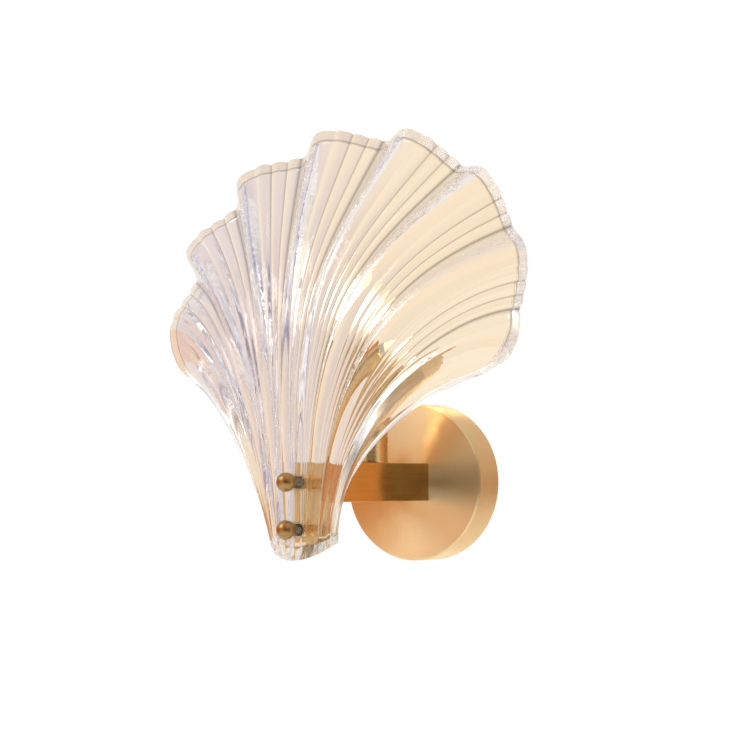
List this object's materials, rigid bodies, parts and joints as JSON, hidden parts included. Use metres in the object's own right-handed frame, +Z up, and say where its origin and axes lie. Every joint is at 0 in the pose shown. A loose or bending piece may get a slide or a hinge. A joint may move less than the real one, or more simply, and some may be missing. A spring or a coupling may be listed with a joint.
{
  "type": "shell wall sconce",
  "caption": "Wall sconce with a fluted clear glass shell clamped to a square brass arm by ball nuts, lit from behind by a capsule lamp in a round brass tube",
  "frame": {"origin": "centre of the rose's back, in the plane of the wall and midway between the wall screws", "axes": "+X to the right of someone facing the wall, +Y into the wall, +Z up; the arm stands out along -Y"},
  "size_m": [0.2617, 0.171, 0.2695],
  "materials": {
    "brushed_brass": "satin brushed brass, lacquered",
    "aged_brass": "darkened polished brass",
    "raw_brass": "plain turned brass",
    "zinc_steel": "zinc-plated steel",
    "clear_fluted_glass": "clear cast glass, fluted and reeded on the front, fire-polished rim",
    "lamp_glass": "clear quartz-type lamp glass",
    "filament": "tungsten wire and supports",
    "steatite": "white glazed ceramic",
    "soft_washer": "translucent silicone rubber",
    "terminal_plastic": "white moulded plastic",
    "live_sleeve": "brown heat-proof sleeve",
    "neutral_sleeve": "blue heat-proof sleeve",
    "earth_sleeve": "green and yellow sleeve"
  },
  "bodies": {
    "sconce": {"arm_front_plug": "raw_brass", "arm_nipple": "raw_brass", "arm_nut": "raw_brass", "arm_rear_plug": "raw_brass", "arm_tube": "brushed_brass", "ceramic_holder": "steatite", "contact_left": "raw_brass", "contact_right": "raw_brass", "earth_lead": "earth_sleeve", "earth_ring": "zinc_steel", "earth_screw": "zinc_steel", "front_plate": "brushed_brass", "glass_shell": "clear_fluted_glass", "holder_strap": "zinc_steel", "lampholder_boss": "raw_brass", "lampholder_nipple": "raw_brass", "lampholder_tube": "brushed_brass", "live_lead": "live_sleeve", "lower_bush": "soft_washer", "lower_stud": "brushed_brass", "neutral_lead": "neutral_sleeve", "rose": "brushed_brass", "rose_grub_screw_bottom": "brushed_brass", "rose_grub_screw_top": "brushed_brass", "strap_screw_front": "zinc_steel", "strap_screw_rear": "zinc_steel", "terminal_block": "terminal_plastic", "terminal_block_screw": "zinc_steel", "terminal_clamp_screws": "raw_brass", "tube_nut": "raw_brass", "upper_bush": "soft_washer", "upper_stud": "brushed_brass", "wall_bracket": "zinc_steel"},
    "lamp": {"lamp_base": "steatite", "lamp_pin_left": "zinc_steel", "lamp_pin_right": "zinc_steel", "lamp_capsule": "lamp_glass", "lamp_filament": "filament"},
    "upper_nut_travel": {"upper_front_washer": "soft_washer"},
    "upper_nut": {"upper_ball_nut": "aged_brass"},
    "lower_nut_travel": {"lower_front_washer": "soft_washer"},
    "lower_nut": {"lower_ball_nut": "aged_brass"}
  },
  "joints": [
    {"name": "lamp_plug", "type": "slide", "parent": "sconce", "child": "lamp", "axis": [0, 0, 1], "range_m": [0, 0.02]},
    {"name": "upper_nut_advance", "type": "slide", "parent": "sconce", "child": "upper_nut_travel", "axis": [0, -1, 0], "range_m": [0, 0.0036]},
    {"name": "upper_nut_turn", "type": "hinge", "parent": "upper_nut_travel", "child": "upper_nut", "pos_m": [0, -0.1616, 0], "axis": [0, -1, 0], "range_deg": [0, 1800]},
    {"name": "lower_nut_advance", "type": "slide", "parent": "sconce", "child": "lower_nut_travel", "axis": [0, -1, 0], "range_m": [0, 0.0036]},
    {"name": "lower_nut_turn", "type": "hinge", "parent": "lower_nut_travel", "child": "lower_nut", "pos_m": [0, -0.1616, -0.028], "axis": [0, -1, 0], "range_deg": [0, 1800]}
  ],
  "couplings": [
    {"joint": "upper_nut_advance", "follows": "upper_nut_turn", "m_per_rad": 0.00011141},
    {"joint": "lower_nut_advance", "follows": "lower_nut_turn", "m_per_rad": 0.00011141}
  ]
}
